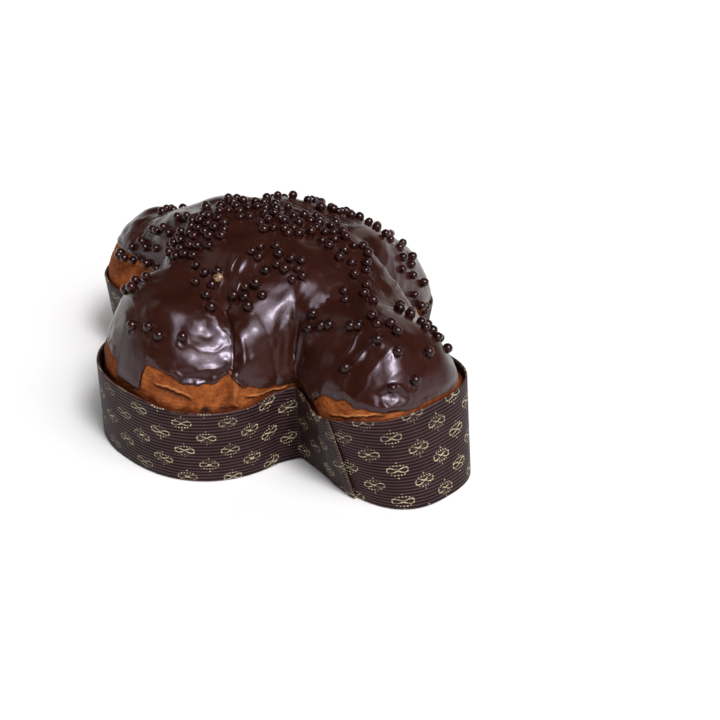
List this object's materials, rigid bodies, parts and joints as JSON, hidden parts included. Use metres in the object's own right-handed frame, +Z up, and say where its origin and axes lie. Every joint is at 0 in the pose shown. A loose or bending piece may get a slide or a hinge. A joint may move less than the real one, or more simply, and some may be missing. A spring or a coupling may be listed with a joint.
{
  "type": "colomba cake",
  "caption": "Dove-shaped Easter cake in its corrugated paper baking case, covered with dark chocolate icing and strewn with chocolate pearls.",
  "frame": {"origin": "middle of the whole in plan, on the surface that the case stands on", "axes": "+X towards the dove's tail and -X towards its head, along the length; +Y and -Y towards the wings; +Z up"},
  "size_m": [0.269, 0.2174, 0.1184],
  "materials": {
    "case_paper": "dark brown corrugated paper with a pale gold print",
    "crust": "matt browned cake crust",
    "chocolate": "glossy dark chocolate"
  },
  "bodies": {
    "root": {"paper_case": "case_paper", "cake": "crust", "chocolate_icing": "chocolate"}
  },
  "joints": []
}
